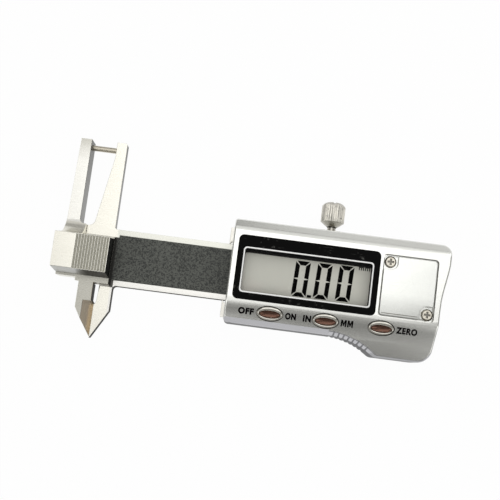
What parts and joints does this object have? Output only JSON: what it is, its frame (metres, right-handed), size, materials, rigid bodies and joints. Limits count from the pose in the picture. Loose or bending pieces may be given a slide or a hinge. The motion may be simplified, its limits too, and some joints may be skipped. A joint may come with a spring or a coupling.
{
  "type": "digital gemstone gauge",
  "caption": "Slim digital sliding gauge for gemstones with a measuring pin, pointed blades, display housing, oval buttons and a knurled lock screw.",
  "frame": {"origin": "outer face of the back plate, on the beam's centre line, near the middle of the housing", "axes": "+X along the beam from the jaws to the display, +Y towards the pin arms, +Z out of the display face"},
  "size_m": [0.108, 0.0561, 0.0154],
  "materials": {
    "jaw_steel": "fine ground",
    "pin_steel": "ground",
    "scale_print": "speckled print",
    "scale_board": "glass epoxy",
    "frame_steel": "bead blasted",
    "plate_steel": "brushed",
    "screw_steel": "nickel plated",
    "grub_steel": "black oxide",
    "gib_brass": "machined",
    "knob_metal": "knurled, nickel plated",
    "housing_silver": "satin silver paint",
    "door_silver": "satin silver paint",
    "bezel_black": "gloss black",
    "trim_silver": "plated",
    "window_clear": "clear",
    "lcd_grey": "liquid crystal panel",
    "holder_black": "moulded",
    "zebra_pink": "layered silicone",
    "board_green": "solder mask",
    "chip_black": "epoxy drop",
    "pad_rubber": "silicone",
    "button_chrome": "plated",
    "cell_steel": "nickel plated",
    "contact_bronze": "sprung bronze"
  },
  "bodies": {
    "carriage": {"moving_jaw": "jaw_steel", "measuring_pin": "pin_steel", "connecting_bar": "plate_steel", "jaw_screws": "screw_steel", "bar_screws": "screw_steel", "slider_frame": "frame_steel", "back_plate": "plate_steel", "back_plate_screws": "screw_steel", "gib_strip": "gib_brass", "gib_screws": "grub_steel", "housing_cover": "housing_silver", "cover_screws": "screw_steel", "display_bezel": "bezel_black", "display_trim": "trim_silver", "display_window": "window_clear", "lcd_panel": "lcd_grey", "lcd_holder": "holder_black", "lcd_connectors": "zebra_pink", "circuit_board": "board_green", "board_screws": "contact_bronze", "display_chip": "chip_black", "button_pad": "pad_rubber", "battery_door": "door_silver", "battery_door_screws": "screw_steel", "coin_cell": "cell_steel", "battery_contacts": "contact_bronze"},
    "beam": {"beam": "jaw_steel", "scale_board": "scale_board", "scale_cover": "scale_print"},
    "lock_screw": {"lock_screw": "knob_metal"},
    "button_on_off": {"button_on_off": "button_chrome"},
    "button_inch_mm": {"button_inch_mm": "button_chrome"},
    "button_zero": {"button_zero": "button_chrome"}
  },
  "joints": [
    {"name": "jaw_slide", "type": "slide", "parent": "carriage", "child": "beam", "axis": [1, 0, 0], "range_m": [0, 0.025]},
    {"name": "press_on_off", "type": "slide", "parent": "carriage", "child": "button_on_off", "axis": [0, 0, -1], "range_m": [0, 0.0004], "stiffness_N_per_m": 2500, "deforming": ["button_pad"]},
    {"name": "press_inch_mm", "type": "slide", "parent": "carriage", "child": "button_inch_mm", "axis": [0, 0, -1], "range_m": [0, 0.0004], "stiffness_N_per_m": 2500, "deforming": ["button_pad"]},
    {"name": "press_zero", "type": "slide", "parent": "carriage", "child": "button_zero", "axis": [0, 0, -1], "range_m": [0, 0.0004], "stiffness_N_per_m": 2500, "deforming": ["button_pad"]},
    {"name": "lock_turn", "type": "hinge", "parent": "carriage", "child": "lock_screw", "pos_m": [-0.00275, 0.012, 0.00355], "axis": [0, 1, 0], "range_deg": [0, 180]}
  ]
}
